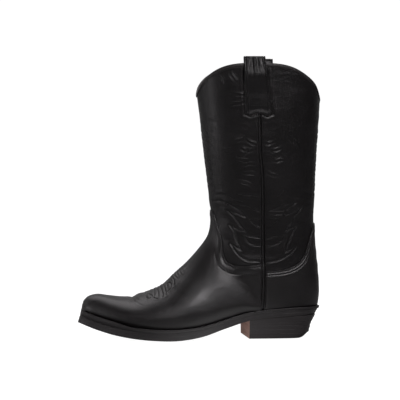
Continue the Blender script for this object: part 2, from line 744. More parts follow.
BRASS = metal("nail_brass", base=(0.72, 0.53, 0.26), rough=0.32)

# ---------------------------------------------------------------- stitched and creased lines
# Points are (row, turn) on the front and (height, turn) on the back. Lines with negative
# turns are mirrored onto the inner side. The first MAIN_LINES flames are cut deeper.
MAIN_LINES = 7
FLAMES_FRONT = [
    [(14.78, -0.984), (14.47, -0.886), (14.2, -0.81), (13.97, -0.703), (14.06, -0.617),
     (14.24, -0.557)],
    [(14.24, -0.557), (14.37, -0.647), (14.48, -0.717)],
    [(14.48, -0.717), (14.89, -0.649), (15.42, -0.611), (15.72, -0.553)],
    [(15.72, -0.553), (15.7, -0.657), (15.9, -0.784)],
    [(15.9, -0.784), (16.13, -0.719), (16.57, -0.627), (16.77, -0.523)],
    [(16.77, -0.523), (16.82, -0.675), (16.77, -0.806)],
    [(16.77, -0.806), (17.05, -0.731), (17.18, -0.651), (17.3, -0.549)],
    [(17.3, -0.549), (17.36, -0.693), (17.38, -0.822), (17.28, -0.966)],
    [(15.57, -0.98), (15.4, -0.904), (15.31, -0.842), (15.4, -0.792), (15.54, -0.754)],
    [(15.54, -0.754), (15.73, -0.846), (15.98, -0.976)],
    [(16.52, -0.976), (16.52, -0.898), (16.7, -0.84)],
    [(16.7, -0.84), (16.83, -0.912), (16.95, -0.976)],
    [(17.69, -0.351), (17.77, -0.521), (17.62, -0.641), (17.57, -0.786)],
    [(17.2, -0.23), (17.36, -0.447), (17.3, -0.549)],
    [(17.9, -0.711), (17.95, -0.858), (17.94, -0.964)]]
FLAMES_REAR = [
    [(95.8, -0.985), (96.4, -0.944), (98.8, -0.88), (102.5, -0.813), (107.7, -0.73),
     (113.7, -0.666)],
    [(113.7, -0.666), (110.3, -0.754), (107.9, -0.818)],
    [(107.9, -0.818), (120.1, -0.772), (131.2, -0.71), (139.7, -0.644)],
    [(139.7, -0.644), (136.3, -0.735), (133.3, -0.801)],
    [(133.3, -0.801), (141.2, -0.747), (152.3, -0.659), (161.8, -0.543)],
    [(161.8, -0.543), (157.8, -0.688), (152.5, -0.796)],
    [(152.5, -0.796), (159.9, -0.772), (162.9, -0.732), (168.4, -0.646)],
    [(168.4, -0.646), (166.7, -0.745), (163.8, -0.853), (157.6, -0.975)],
    [(115.6, -0.98), (116.7, -0.934), (119.2, -0.887), (125.2, -0.84), (130.1, -0.808)],
    [(130.1, -0.808), (127.8, -0.882), (125.4, -0.978)],
    [(139.0, -0.975), (142.7, -0.926), (148.8, -0.865)],
    [(148.8, -0.865), (149.5, -0.926), (149.9, -0.975)],
    [(184.6, -0.794), (178.0, -0.858), (173.8, -0.904)],
    [(173.6, -0.757), (168.0, -0.813), (165.0, -0.865)]]
CREASES_FRONT = [
    [(22.65, -0.595), (22.47, -0.617), (22.26, -0.639)],
    [(22.64, -0.721), (22.46, -0.749), (22.24, -0.792)],
    [(21.75, -0.782), (21.67, -0.838), (21.64, -0.892)],
    [(21.41, -0.725), (21.37, -0.81), (21.39, -0.878)],
    [(20.06, -0.715), (20.06, -0.778), (20.09, -0.838)],
    [(20.06, -0.87), (19.97, -0.91), (19.89, -0.948), (19.86, -0.98)],
    [(19.78, -0.794), (19.71, -0.838), (19.7, -0.87)],
    [(19.56, -0.832), (19.65, -0.9), (19.7, -0.962)],
    [(19.37, -0.711), (19.35, -0.798), (19.32, -0.866)],
    [(19.1, -0.8), (19.19, -0.848), (19.2, -0.892), (19.17, -0.952)],
    [(18.84, -0.802), (18.84, -0.87), (18.82, -0.944)],
    [(18.5, -0.709), (18.43, -0.818), (18.28, -0.926)],
    [(19.79, -0.547), (19.74, -0.635), (19.76, -0.705)]]
CREASES_REAR = [
    [(241.3, -0.973), (240.4, -0.934), (243.6, -0.88)],
    [(231.7, -0.912), (233.2, -0.862), (235.3, -0.811)],
    [(218.9, -0.902), (219.8, -0.853), (221.3, -0.796)],
    [(286.2, -0.934), (289.9, -0.902), (293.5, -0.885)],
    [(155.2, -0.975), (154.8, -0.875), (155.5, -0.745)],
    [(247.3, -0.72), (241.1, -0.659), (233.6, -0.614)],
    [(205.7, -0.971), (202.1, -0.919), (201.9, -0.86)]]
# scroll of stitching over the toe
TOE_SCROLL = [
    [(6.99, -0.300), (6.80, -0.285), (6.76, -0.205), (6.93, -0.155), (7.08, -0.225),
     (7.20, -0.320), (7.43, -0.362), (7.56, -0.26), (7.62, -0.13), (7.66, -0.02)],
    [(7.26, -0.285), (7.34, -0.20), (7.40, -0.10), (7.42, -0.02)],
    [(7.87, -0.02), (7.84, -0.17), (7.80, -0.30), (7.72, -0.37)],
    [(8.08, -0.02), (8.06, -0.15), (8.01, -0.28), (7.93, -0.36)],
    [(8.12, -0.315), (8.34, -0.285), (8.47, -0.215), (8.40, -0.140), (8.27, -0.150),
     (8.24, -0.205)],
    [(8.68, -0.02), (8.73, -0.12), (8.70, -0.23), (8.60, -0.29)]]
TOE_CREASES = [
    [(5.78, -0.02), (5.86, -0.24), (6.06, -0.36), (6.34, -0.44)],
    [(5.40, -0.14), (5.52, -0.26), (5.62, -0.36)],
    [(5.98, -0.04), (6.05, -0.2), (6.22, -0.3)]]


def chevron(level, rise, notch, half):
    return [(level, -half), (level + rise, -0.1), (level + notch, 0.0), (level + rise, 0.1),
            (level, half)]


CHEVRONS_FRONT = [chevron(18.15 + 0.4 * i, rise=0.16, notch=0.02, half=0.26) for i in range(7)]
CHEVRONS_REAR = [chevron(176 + 12 * i, rise=5, notch=1, half=0.24) for i in range(7)]


# ---------------------------------------------------------------- panels of the upper
class Panel:
    """A skin between a low and a high edge, both functions of turn. shares run up it from
    0 to 1, and turns run across it from the outer to the inner side."""

    def __init__(self, skin, low, high, shares, turns, inset):
        self.skin, self.low, self.high = skin, low, high
        self.shares, self.turns = shares, turns
        self.share, self.turn = np.meshgrid(shares, turns, indexing="ij")
        self.away = np.abs(self.turn)
        bottom = low(self.turn)
        self.level = bottom + (high(self.turn) - bottom) * self.share
        self.base = skin(self.level, self.turn, inset)
        self.facing = 1 if skin is front_skin else -1
        self.normal = self.facing * normals(self.base)

    def finish(self, name, relief, inner_inset, material, sink=0.0, nose=False):
        """Presses the relief into the outside and closes the panel behind it."""
        self.outer = self.base + self.normal * relief[..., None]
        inner = self.skin(self.level, self.turn, inner_inset)
        self.outer[..., 2] -= sink
        inner[..., 2] -= sink
        self.outer_normal = self.facing * normals(self.outer)
        upper(shell(name, self.outer, inner, material, nose=nose), "black_leather", name)

    def at(self, level, turn):
        """Points and normals of the finished outside."""
        low = self.low(turn)
        share = (level - low) / (self.high(turn) - low)
        place = []
        for value, known in ((share, self.shares), (turn, self.turns)):
            index = np.interp(value, known, np.arange(len(known)))
            place.append(np.clip(index, 0, len(known) - 1 - 1e-6))
        row, column = (index.astype(int) for index in place)
        up, over = (place[0] - row)[:, None], (place[1] - column)[:, None]

        def blend(grid):
            near = grid[row, column] * (1 - up) + grid[row + 1, column] * up
            far = grid[row, column + 1] * (1 - up) + grid[row + 1, column + 1] * up
            return near * (1 - over) + far * over
        return blend(self.outer), unit(blend(self.outer_normal))

    def edge_gap(self):
        """Distance of every point from the top edge."""
        turns = np.linspace(-FULL_TURN, FULL_TURN, 500)
        return distances(self.base, [self.skin(self.high(turns), turns, 0)])

    def below_edge(self, turns, gap, reach):
        """Level that lies the given distance below the top edge, for each turn."""
        top = self.high(turns)
        kd = tree(self.skin(top, turns, 0))
        steps = np.linspace(0, reach, 60)
        levels = []
        for turn, start in zip(turns, top):
            points = self.skin(start - steps, np.full_like(steps, turn), 0)
            away = np.array([kd.find(point)[2] for point in points])
            hit = np.argmax(away >= gap) if (away >= gap).any() else len(away) - 1
            if hit == 0:
                levels.append(start)
            else:
                share = (away[hit] - gap) / max(away[hit] - away[hit - 1], 1e-6)
                share = (gap - away[hit - 1]) / max(away[hit] - away[hit - 1], 1e-6)
                levels.append(start - steps[hit - 1] - share * (steps[hit] - steps[hit - 1]))
        levels = np.array(levels)
        levels[2:-2] = np.convolve(levels, np.array([1, 2, 3, 2, 1]) / 9, mode="valid")
        return levels


def full_turns(count):
    return FULL_TURN * np.linspace(-1, 1, even(count) + 1)


def mirrored(levels, turns):
    return np.r_[levels[::-1], levels[1:]], np.r_[-turns[::-1], turns[1:]]


# shares below a cut top edge where extra rows stand, and how far each is rounded down
VAMP_CUT = (0.0075, 0.0045, 0.0022, 0.0009)
COUNTER_CUT = (0.02, 0.012, 0.006, 0.0025)
CUT_DEPTH = (1.0, 0.42, 0.12, 0.0, 0.0)


def cut_shares(count, cut):
    return np.r_[np.linspace(0, 1 - 0.011, count), [1 - below for below in cut], 1.0]


def cut_depth(shares, cut):
    return np.interp(1 - shares, [0, *cut[::-1]], CUT_DEPTH)[:, None]


def padded(gap, depth, width, puff, start, reach):
    """Groove along a stitched line, with the leather puffed up beside it."""
    return -depth * bell(gap, width) + puff * (1 - bell(gap, start)) * bell(gap, reach)


def creased(grid, lines, depth=0.6, ridge=0.8, width=1.0, reach=2.1):
    """Sharp valleys with a soft roll, higher above than below, fading out at both ends."""
    lines = [resample(line, 0.8) for line in lines]
    targets = np.concatenate(lines)
    fade = np.concatenate([np.sin(np.linspace(0.02, 0.98, len(line)) * math.pi) ** 0.8
                           for line in lines])
    gap, index = nearest(grid, targets, 12)
    rise = grid[..., 2] - targets[index, 2]
    roll = np.where(rise > 0, 1.0, 0.35) * np.minimum(1.0, np.abs(rise) / 1.2)
    return fade[index] * (-depth * bell(gap, width) + ridge * bell(gap, 1.5, at=reach) * roll)


def build_vamp():
    shares = cut_shares(scaled(272), VAMP_CUT)
    # rows stand closer where the toe stitching and the instep creases are
    crowding = 1.6 * step(shares, 0.36, 0.41) * (1 - step(shares, 0.61, 0.66))
    place = np.cumsum(1 / (1 + crowding))
    spaced = (place - place[0]) / (place[-1] - place[0])
    shares = np.maximum.accumulate(np.where(shares > 0.9, shares, spaced))
    even_turns = np.linspace(-1, 1, even(232) + 1)
    turns = FULL_TURN * (0.70 * even_turns + 0.30 * even_turns ** 3)
    panel = Panel(front_skin, np.zeros_like, vamp_top, shares, turns, 0)
    base, row, away = panel.base, panel.level, panel.away
    relief = noises(base, (0.32, 40, 0), (0.16, 13, 2), (0.045, 5.5, 90))
    relief += 0.10 * noise(base * [1, 1, 1.6], 22, 91)
    # flex creases over the instep, across the ridge: a fine set and a broad set
    ripple = np.sin((row * 21.0 + 2.2 * noise(base, 11, 4)) * 2 * math.pi / 3.7)
    relief += (0.40 * ripple * bell(row, width=0.62, at=9.25)
               * bell(away, width=0.13, at=0.12))
    ripple = np.sin((row * 20.0 + 5 * noise(base, 20, 6)) * 2 * math.pi / 7.5)
    relief += 0.16 * ripple * bell(row, width=1.3, at=7.9) * bell(away, width=0.32)
    # where the toe box ends: a sharp dip, a bulge behind it and a shallow dip after that
    wobble = 0.05 * noise(base, 9, 8)
    dip_row = row - wobble - 0.2 * away
    relief -= 1.45 * bell(dip_row, width=0.17, at=5.72) * bell(away, width=0.26)
    relief += 1.35 * bell(row - wobble, width=0.30, at=6.36) * bell(away, width=0.27)
    dip_row = row - wobble + 0.3 * away
    relief -= 0.35 * bell(dip_row, width=0.10, at=6.82) * bell(away, width=0.2)
    # broad hollows where the foot bends
    relief -= 0.5 * bell(row, width=0.9, at=6.7) * bell(away, width=0.16, at=0.55)
    # tucked in to the feather line
    relief -= 0.7 * np.clip((away - 0.972) / 0.026, 0, 1) ** 2 * step(12.0 - row, 0, 0.8)
    relief -= (0.15 * np.clip((away - 0.9) / 0.098, 0, 1) * step(11.0 - row, 0, 0.8)
               * np.clip(row / 1.5, 0, 1))
    # seams along the top edge: two grooves and a padded roll between them
    gap = panel.edge_gap()
    sides = step(away, 0.30, 0.42)
    relief -= 0.30 * bell(gap, width=0.5, at=2.4)
    relief += 0.34 * bell(gap, width=2.1, at=5.9) * (0.4 + 0.6 * sides)
    relief -= 0.42 * bell(gap, width=0.75, at=10.6) * sides
    relief += 0.12 * bell(gap, width=0.6, at=0.9)
    scroll_gap = distances(base, on_skin(both(TOE_SCROLL), front_skin, 0))
    near_scroll = (np.abs(row - 7.7) < 1.6) & (away < 0.5)
    relief += near_scroll * padded(scroll_gap, depth=0.75, width=0.62, puff=0.50, start=1.4,
                                   reach=3.0)
    relief += creased(base, on_skin(both(TOE_CREASES), front_skin, 0), depth=0.5, ridge=0.45,
                      width=0.8, reach=1.7)
    # pared thinner towards the cut edge
    thin = (0.25 + 0.50 * (1 - step(away, 0.46, 0.62))) * bell(gap, width=3.4)
    relief -= thin + cut_depth(shares, VAMP_CUT) * (1 - 0.9 * thin)
    sink = 1.5 * np.clip((away - 0.975) / 0.023, 0, 1) * step(12.3 - row, 0, 0.5)
    panel.finish("vamp", relief, 1.5, BLACK, sink, nose=True)
    turns = np.linspace(0.0, 0.985, 260)
    runs = [panel.at(*mirrored(panel.below_edge(turns, gap=2.4, reach=2.2), turns))]
    turns = turns[turns >= 0.36]
    levels = panel.below_edge(turns, gap=10.6, reach=2.2)
    runs += [panel.at(levels, side * turns) for side in (-1, 1)]
    runs += [panel.at(*smooth_line(line)) for line in both(TOE_SCROLL)]
    upper(stitches("vamp_stitching", runs), "black_leather")


def build_counter():
    shares = cut_shares(scaled(120), COUNTER_CUT)
    panel = Panel(rear_skin, counter_foot, counter_top, shares, full_turns(170), 0)
    base, share, z = panel.base, panel.share, panel.level
    relief = noises(base, (0.28, 36, 3), (0.08, 12, 5))
    # two grooves, with soft rolls between and below them
    gap = panel.edge_gap()
    relief -= 0.30 * bell(gap, width=0.5, at=2.4) + 0.30 * bell(gap, width=0.55, at=5.6)
    relief += 0.22 * bell(gap, width=0.9, at=4.0) + 0.30 * bell(gap, width=2.0, at=8.0)
    # tucked in at the bottom
    relief -= 1.0 * np.clip((0.035 - share) / 0.035, 0, 1) ** 2
    relief -= 0.25 * np.clip((0.12 - share) / 0.12, 0, 1)
    # soft folds above the heel seat at the back
    ripple = np.sin((z + 3 * noise(base, 25, 9)) * 2 * math.pi / 17)
    relief += 0.25 * ripple * bell(z, width=22, at=96) * bell(panel.turn, width=0.5)
    relief -= cut_depth(shares, COUNTER_CUT)
    sink = 1.5 * np.clip((0.05 - share) / 0.05, 0, 1)
    panel.finish("counter_cover", relief, 1.5, BLACK, sink)
    turns = np.linspace(0, 0.985, 240)
    runs = [panel.at(*mirrored(panel.below_edge(turns, gap, reach=26), turns))
            for gap in (2.4, 5.6)]
    upper(stitches("counter_stitching", runs), "black_leather")


# ---------------------------------------------------------------- shaft panels
STRAP_LENGTH = 62           # sewn-down leg, below the rim
STRAP_HALF_RIM = 13.3
STRAP_HALF_FOOT = 17
LOBE_HEIGHT = 3.4           # two lobes on the lower end of the strap


def strap_half_width(drop):
    flare = STRAP_HALF_FOOT - STRAP_HALF_RIM
    return STRAP_HALF_RIM + flare * np.clip(drop / STRAP_LENGTH, 0, 1)


def strap_lobes(across):
    return LOBE_HEIGHT * bell(np.abs(across), width=0.27, at=0.6)


def strap_outline(side):
    """Both long edges and the lobed lower end of a strap, on the shaft."""
    z = np.linspace(RIM_Z, 277.2, 60)
    lines = [(edge * strap_half_width(RIM_Z - z), z) for edge in (-1, 1)]
    across = np.linspace(-1, 1, 40)
    lines.append((across * STRAP_HALF_FOOT, 278.2 - strap_lobes(across)))
    return [np.stack([seam_x(z, side) + offset,
                      side * (lookup(SEAM_Y, z) - 1.7) * shaft_round(offset), z], -1)
            for offset, z in lines]


def pressed(base):
    """The leather sinks a little along the edge of the sewn-down strap."""
    gap = distances(base, strap_outline(-1) + strap_outline(1))
    return -0.75 * bell(gap, width=1.3) + 0.40 * bell(gap, width=1.5, at=3.6)


def mottle(base, seed):
    """Soft unevenness of worn leather: level wrinkles and shallow dents."""
    wrinkles = noise(base * [0.7, 0.7, 1.9], 12, 101 + seed)
    dents = noise(base * [0.8, 0.8, 1.5], 24, 111 + seed)
    veins = 0.22 - np.abs(noise(base * [0.6, 0.6, 2.1], 19, 121 + seed))
    return 0.17 * wrinkles + 0.48 * dents + 0.42 * veins * step(veins, 0, 0.22)


def quilt(base, skin, flames, creases, chevrons, gain):
    """Padded leather between stitched lines, and natural creases."""
    vary = 1 + 0.9 * noise(base, 16, 81)
    gap = distances(base, on_skin(both(flames[:MAIN_LINES]), skin, 1.7))
    relief = gain * padded(gap, depth=0.62, width=0.62, puff=0.95 * vary, start=1.7, reach=6.5)
    gap = distances(base, on_skin(both(flames[MAIN_LINES:]), skin, 1.7))
    relief += gain * padded(gap, depth=0.40, width=0.62, puff=0.42 * vary, start=1.7, reach=5.0)
    gap = distances(base, on_skin(chevrons, skin, 1.7))
    relief += padded(gap, depth=0.45, width=0.8, puff=0.55, start=2.0, reach=6.0)
    return relief + creased(base, on_skin(both(creases), skin, 1.7))


def folds(panel, height, stretch, cell, seed, at, width, sides):
    """Level folds about one level, growing from one turn to another."""
    fold = 0.25 - np.abs(noise(panel.base * stretch, cell, seed))
    return height * fold * bell(panel.level, width=width, at=at) * step(panel.away, *sides)


def finish_shaft_panel(tag, panel, flames, chevrons, relief, seed, free, rim_level):
    """Adds what both panels share. free is 0 where the relief has to fade out."""
    base = panel.base
    relief = relief + 0.45 * noise(base, 44, seed) + pressed(base)
    relief += 0.25 * bell((1 - panel.away) * 75, width=5.5)
    panel.finish(f"shaft_{tag}_panel", relief * free, 3.1, SHAFT)
    runs = [panel.at(*smooth_line(line)) for line in both(flames) + chevrons]
    turns = np.linspace(-0.985, 0.985, 400)
    runs.append(panel.at(rim_level(turns), turns))
    upper(stitches(f"shaft_{tag}_stitching", runs), "black_leather")


def build_shaft_front():
    panel = Panel(front_skin, lambda turn: vamp_top(turn) - TUCK, front_rim,
                  np.linspace(0, 1, scaled(250)), full_turns(240), 1.7)
    relief = quilt(panel.base, front_skin, FLAMES_FRONT, CREASES_FRONT, CHEVRONS_FRONT, gain=1.0)
    relief += mottle(panel.base, 0)
    relief += folds(panel, height=0.65, stretch=[0.55, 0.55, 2.0], cell=17, seed=12,
                    at=19.3, width=1.3, sides=(0.5, 0.9))
    relief += folds(panel, height=0.35, stretch=[0.7, 0.7, 1.6], cell=13, seed=15,
                    at=21.6, width=0.9, sides=(0.5, 0.85))
    free = step(panel.level - vamp_top(panel.turn), 0.01, 0.16)
    free = free * step(RIM_ROW - panel.level, 0.08, 0.3)
    finish_shaft_panel("front", panel, FLAMES_FRONT, CHEVRONS_FRONT, relief, 1, free,
                       lambda turn: np.full_like(turn, 22.80))


def build_shaft_back():
    panel = Panel(rear_skin, lambda turn: counter_top(turn) - 7, rear_rim,
                  np.linspace(0, 1, scaled(250)), full_turns(220), 1.7)
    relief = quilt(panel.base, rear_skin, FLAMES_REAR, CREASES_REAR, CHEVRONS_REAR, gain=0.55)
    relief += mottle(panel.base, 3)
    relief += folds(panel, height=0.5, stretch=[0.55, 0.55, 2.0], cell=18, seed=32,
                    at=228, width=28, sides=(0.55, 0.9))
    free = step(panel.level - counter_top(panel.turn), 0.3, 4.0)
    free = free * step(rear_rim(panel.turn) - panel.level, 2.0, 7.0)
    finish_shaft_panel("back", panel, FLAMES_REAR, CHEVRONS_REAR, relief, 21, free,
                       lambda turn: rear_rim(turn) - 4.6)


def build_lining(name, skin, low, high, seed=None, nose=False):
    """Lining between insets 3.3 and 4.1. A shaft lining has a seed for its wavy inside."""
    panel = Panel(skin, low, high, np.linspace(0, 1, scaled(90)), full_turns(90), 4.1)
    inner = panel.base
    if seed:
        wave = noises(inner, (0.25, 30, seed), (0.1, 9, seed + 1)) + 0.1
        wave *= step(panel.share, 0, 0.06) * step(1 - panel.share, 0, 0.06)
        inner = inner - panel.normal * wave[..., None]
    material, slot = (LINING, "lining_leather") if seed else (FOOT_LINING, "foot_lining")
    outer = skin(panel.level, panel.turn, 3.3)
    upper(shell(name, outer, inner, material, nose=nose), slot, name)


def build_linings():
    build_lining("shaft_lining_front", front_skin, lambda turn: vamp_top(turn) + 0.03,
                 front_rim, seed=41)
    build_lining("shaft_lining_back", rear_skin, lambda turn: counter_top(turn) + 0.5,
                 rear_rim, seed=43)
    build_lining("vamp_lining", front_skin, np.zeros_like, vamp_top, nose=True)
    build_lining("heel_lining", rear_skin, counter_foot, counter_top)


# ---------------------------------------------------------------- rim binding
# cross-section: (inset, height above the rim); the faces from 8 to 11 show the lining
BINDING_PROFILE = [
    (1.62, -3.3), (1.46, -3.1), (1.42, -1.5), (1.42, 0.3), (1.6, 1.0), (2.1, 1.6),
    (2.9, 1.75), (3.7, 1.55), (4.25, 1.05), (4.5, 0.3), (4.5, -1.5), (4.5, -2.9),
    (4.2, -3.1), (4.2, -0.1), (3.0, 0.05), (1.62, -0.1)]


def rim_ring(inset, rise):
    turns = full_turns(160)
    ring = np.concatenate([front_skin(front_rim(turns), turns, inset),
                           rear_skin(rear_rim(turns[::-1]), turns[::-1], inset)])
    ring[:, 2] += rise
    return ring


def build_binding():
    rings = np.array([rim_ring(inset, rise) for inset, rise in BINDING_PROFILE])
    rings[..., 2] += 0.07 * noise(rings, 6, 51)
    count, around = rings.shape[:2]
    ids = np.arange(count * around).reshape(count, around)
    rows = closed(np.vstack([ids, ids[:1]]))
    ob = make("top_binding", rings.reshape(-1, 3), quads(rows[:-1], rows[1:]), BINDING, LINING)
    face_out(ob)
    shows_lining = [int(8 <= i // around <= 11) for i in range(count * around)]
    ob.data.polygons.foreach_set("material_index", shows_lining)
    rides(ob, "shaft", "binding", "top_binding")
    line = rim_ring(1.2, -1.9)
    out = unit((line - line.mean(0)) * [1, 1, 0])
    run = (np.vstack([line, line[:1]]), np.vstack([out, out[:1]]))
    ob = stitches("binding_stitching", [run], length=1.9, gap=0.7, radius=0.24)
    rides(ob, "shaft", "binding")


# ---------------------------------------------------------------- side seam piping
# half of the cross-section, up to its middle: (x, height off the seam)
PIPING_PROFILE = [(-3.25, -0.45), (-3.3, 0.3), (-3.05, 0.66), (-2.5, 0.66), (-2.0, 0.15),
                  (-1.7, -0.35), (-1.2, -0.4), (-1.02, 0.2), (-0.95, 0.9), (-0.72, 1.5),
                  (-0.35, 1.85), (0, 1.95)]


def build_piping(side, tag):
    profile = PIPING_PROFILE + [(-x, rise) for x, rise in PIPING_PROFILE[-2::-1]]
    offset, rise = np.transpose(profile)
    z = np.linspace(38.4, 278.6, scaled(240))
    # stands proud at the sole and sinks into the shaft above the counter
    lift = np.interp(z, [44, 58, 90, 97, 400], [1.15, 0.25, 0.25, -1.4, -1.4])
    lift = np.convolve(np.pad(lift, 4, mode="edge"), np.ones(9) / 9, mode="valid")
    middle_x = seam_x(z, side)
    middle_y = lookup(SEAM_Y, z) + lift
    points = np.stack([middle_x[:, None] + offset, side * (middle_y[:, None] + rise),
                       np.repeat(z[:, None], len(profile), axis=1)], -1)
    points[..., 0] += 0.22 * noise(points * [0, 0, 1] + [side * 9, 0, 0], 30, 61)
    points[..., 1] += side * 0.10 * noise(points, 7, 62)
    ids = np.arange(points[..., 0].size).reshape(points.shape[:2])
    rows = closed(ids)
    faces = walls(rows[:-1], rows[1:]) + [ids[0].tolist(), ids[-1, ::-1].tolist()]
    ob = face_out(make("side_piping_" + tag, points.reshape(-1, 3), faces, PIPING))
    upper(ob, "piping_leather", "shaft_piping_" + tag, "foot_piping_" + tag)
    out = np.tile([0, side, 0], (len(z), 1))
    runs = [(np.stack([middle_x + flange, side * (middle_y + 0.74), z], -1), out)
            for flange in (-2.75, 2.75)]
    ob = stitches("piping_stitching_" + tag, runs, length=1.9, gap=0.8, radius=0.2)
    upper(ob, "piping_leather")


# ---------------------------------------------------------------- pull straps
# Middle line, up outside the shaft, over the rim at entry 11 and down inside:
# (height above the rim, distance out from the seam)
STRAP_PATH = (
    [[-STRAP_LENGTH + i * 9.7, -1.45] for i in range(4)]
    + [[-23.2, -0.2], [-13.5, 1.75], [-3.8, 0.45], [-0.5, -0.2], [2.4, -0.95], [5.0, -1.7],
       [7.0, -2.5], [8.4, -3.4], [6.8, -4.7], [5.0, -5.5], [2.4, -5.5], [-0.5, -4.95]]
    + [[-i * 11, -4.75] for i in range(1, 5)])
# blend of the outer skin towards the inner one on the end rows: (row, share)
STRAP_END_ROUNDING = ((0, 0.45), (1, 0.12), (-1, 0.36))


def build_strap(side, tag):
    place = np.concatenate([np.linspace(0, 6, scaled(46))[:-1],
                            np.linspace(6, 15, scaled(60))[:-1], np.linspace(15, 19, 20)])
    path = curve(STRAP_PATH, place)
    tangent = unit(np.gradient(path, axis=0))
    normal = np.stack([-tangent[:, 1], tangent[:, 0]], -1)
    across = np.linspace(-1, 1, even(46) + 1)
    across = np.sin(across * math.pi / 2) * 0.35 + across * 0.65
    half = np.where(place < 11, strap_half_width(-path[:, 0]), STRAP_HALF_RIM)
    half = half - 0.35 * bell(place, width=1.6, at=8.6)
    offset = across * half[:, None]
    # ribs gathered lengthwise where the strap bends over the rim
    crest = bell(place, width=2.2, at=9.4)
    gather = np.where(place < 9.4, np.exp(-((place - 9.4) / 3.9) ** 4), crest)
    gather = gather * (1 - 0.93 * bell(place, width=1.5, at=11.2))
    away = np.abs(across)
    ribs = 0.85 * np.cos(across * math.pi * 3.6 + 0.4) * (1 - 0.3 * away)
    ribs = ribs + 0.25 * np.cos(across * 17 + 1)
    # thickness, then the stitch groove and roll along the lower end
    outside = 1.6 - 0.40 * bell(place, width=0.22, at=0.75)[:, None] * (away < 0.82)
    outside = outside + 0.25 * bell(place, width=0.25, at=0.25)[:, None]
    # rounded sides, with a groove between two rolls inside them
    outside = outside - 0.6 * np.maximum(0.0, (away - 0.94) / 0.06) ** 2
    outside = outside + 0.25 * bell(away, width=0.04, at=0.93)
    outside = outside - 0.55 * bell(away, width=0.04, at=0.845)
    outside = outside + 0.22 * bell(away, width=0.06, at=0.75)
    outside = outside + 0.95 * gather[:, None] * ribs
    lobes = np.clip(1 - place / 1.5, 0, 1)[:, None] * (strap_lobes(across) - 2.2)

    def skin(thickness):
        point = path[:, None] + normal[:, None] * thickness[..., None]
        z = RIM_Z + point[..., 0] - lobes
        y = lookup(SEAM_Y, np.minimum(z, RIM_Z)) * shaft_round(offset) + point[..., 1]
        return np.stack([seam_x(z, side) + offset, side * y, z], -1)

    outer = skin(outside)
    inner = skin(0.30 * crest[:, None] * ribs)
    outer[..., 1] += side * 0.12 * noise(outer, 16, 71)
    for row, share in STRAP_END_ROUNDING:
        outer[row] = outer[row] * (1 - share) + inner[row] * share

    def follow(ob):
        """Sewn to the shaft below the rim, free above it."""
        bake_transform(ob)

    ob = shell("pull_strap_" + tag, outer, inner, STRAP, BINDING)
    raw_end = [int(p.center.z < 0.2795 and p.normal.z < -0.45) for p in ob.data.polygons]
    ob.data.polygons.foreach_set("material_index", raw_end)
    follow(ob)
    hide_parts("pull_strap_" + tag)
    leg = np.nonzero((place > 0.35) & (place < 6.9))[0]
    width = np.nonzero(away < 0.80)[0]
    lines = [outer[leg, int(np.argmin(np.abs(across - edge)))] for edge in (-0.85, 0.85)]
    lines += [outer[int(np.argmin(np.abs(place - up))), width] for up in (0.42, 1.15)]
    runs = [(line, np.tile([0, side, 0.0], (len(line), 1))) for line in lines]
    follow(stitches("strap_stitching_" + tag, runs, length=1.9, gap=0.7, radius=0.22))


# ---------------------------------------------------------------- welt and soles
TOE_BOW = 1.9               # how far the middle of the squared toe stands before its corners


def sole_x(station, down, inset=0.0):
    """x at a share of the way down the sole's edge, which is raked at toe and heel."""
    return x_at_station(station, -HALF_LENGTH + 4.2 * (1 - down) + inset,
                        HALF_LENGTH - 0.6 - 5.6 * down - inset)


def soften_toe(x, across, station):
    return x + TOE_BOW * np.abs(across) ** 3 * np.clip(1 - station / 0.9, 0, 1) ** 2


def sole_grid(down, height, inset=0.02):
    share = np.linspace(0, 1, scaled(190) + 1)
    station = 16 * (0.75 * share + 0.25 * (0.5 - 0.5 * np.cos(np.pi * share)))
    across = np.sin(np.linspace(-1, 1, even(16) + 1) * math.pi / 2)
    station, across = np.meshgrid(station, across, indexing="ij")
    x = sole_x(station, down, inset)
    y = centre_y(x) + (curve(SOLE_HALF_WIDTH, station) - inset) * across
    return np.stack([soften_toe(x, across, station), y, height(x, y)], -1)


def build_soles():
    both_depth = WELT_DEPTH + MIDSOLE_DEPTH
    top = sole_grid(0.3, lambda x, y: below_top(x, y, WELT_DEPTH))
    bottom = sole_grid(0.6, lambda x, y: below_top(x, y, both_depth, 0.14))
    rides(solid("midsole", top, bottom, SOLE_EDGE, bulge=0.02), "foot", "sole_edge", "midsole")
    top = sole_grid(0.6, lambda x, y: below_top(x, y, both_depth, 0.16))
    bottom = sole_grid(1.0, sole_bottom, inset=0.55)
    ob = solid("outsole", top, bottom, SOLE_EDGE, bulge=0.5,
               wall=((0.08, 0.04), (0.3, 0.2), (0.62, 0.55), (0.84, 0.75), (0.95, 0.5)))
    ob.data.materials.append(TREAD)
    underside = [int(p.normal.z < -0.75) for p in ob.data.polygons]
    ob.data.polygons.foreach_set("material_index", underside)
    rides(ob, "foot", "outsole_leather", "outsole")


# shares across the welt, from its outer edge inwards
WELT_COLUMNS = np.array([0, 0.015, 0.04, 0.09, 0.2, 0.38, 0.6, 0.8, 1.0])
WELT_STITCH_COLUMN = 4


def welt_side(station, side, down):
    """(x, y) of one side of the welt."""
    edge_x = sole_x(station, down)
    inner_x = x_at_station(station, -140.1, 143.1)
    edge_y = centre_y(edge_x) + side * sole_half_width(edge_x)
    inner_half = np.maximum(1.2, curve(LAST_HALF_WIDTH, station) - 4.5)
    inner_y = centre_y(inner_x) + side * inner_half
    edge = np.stack([soften_toe(edge_x, side, station), edge_y], -1)[:, None]
    inner = np.stack([inner_x, inner_y], -1)[:, None]
    return edge + (inner - edge) * WELT_COLUMNS[:, None]


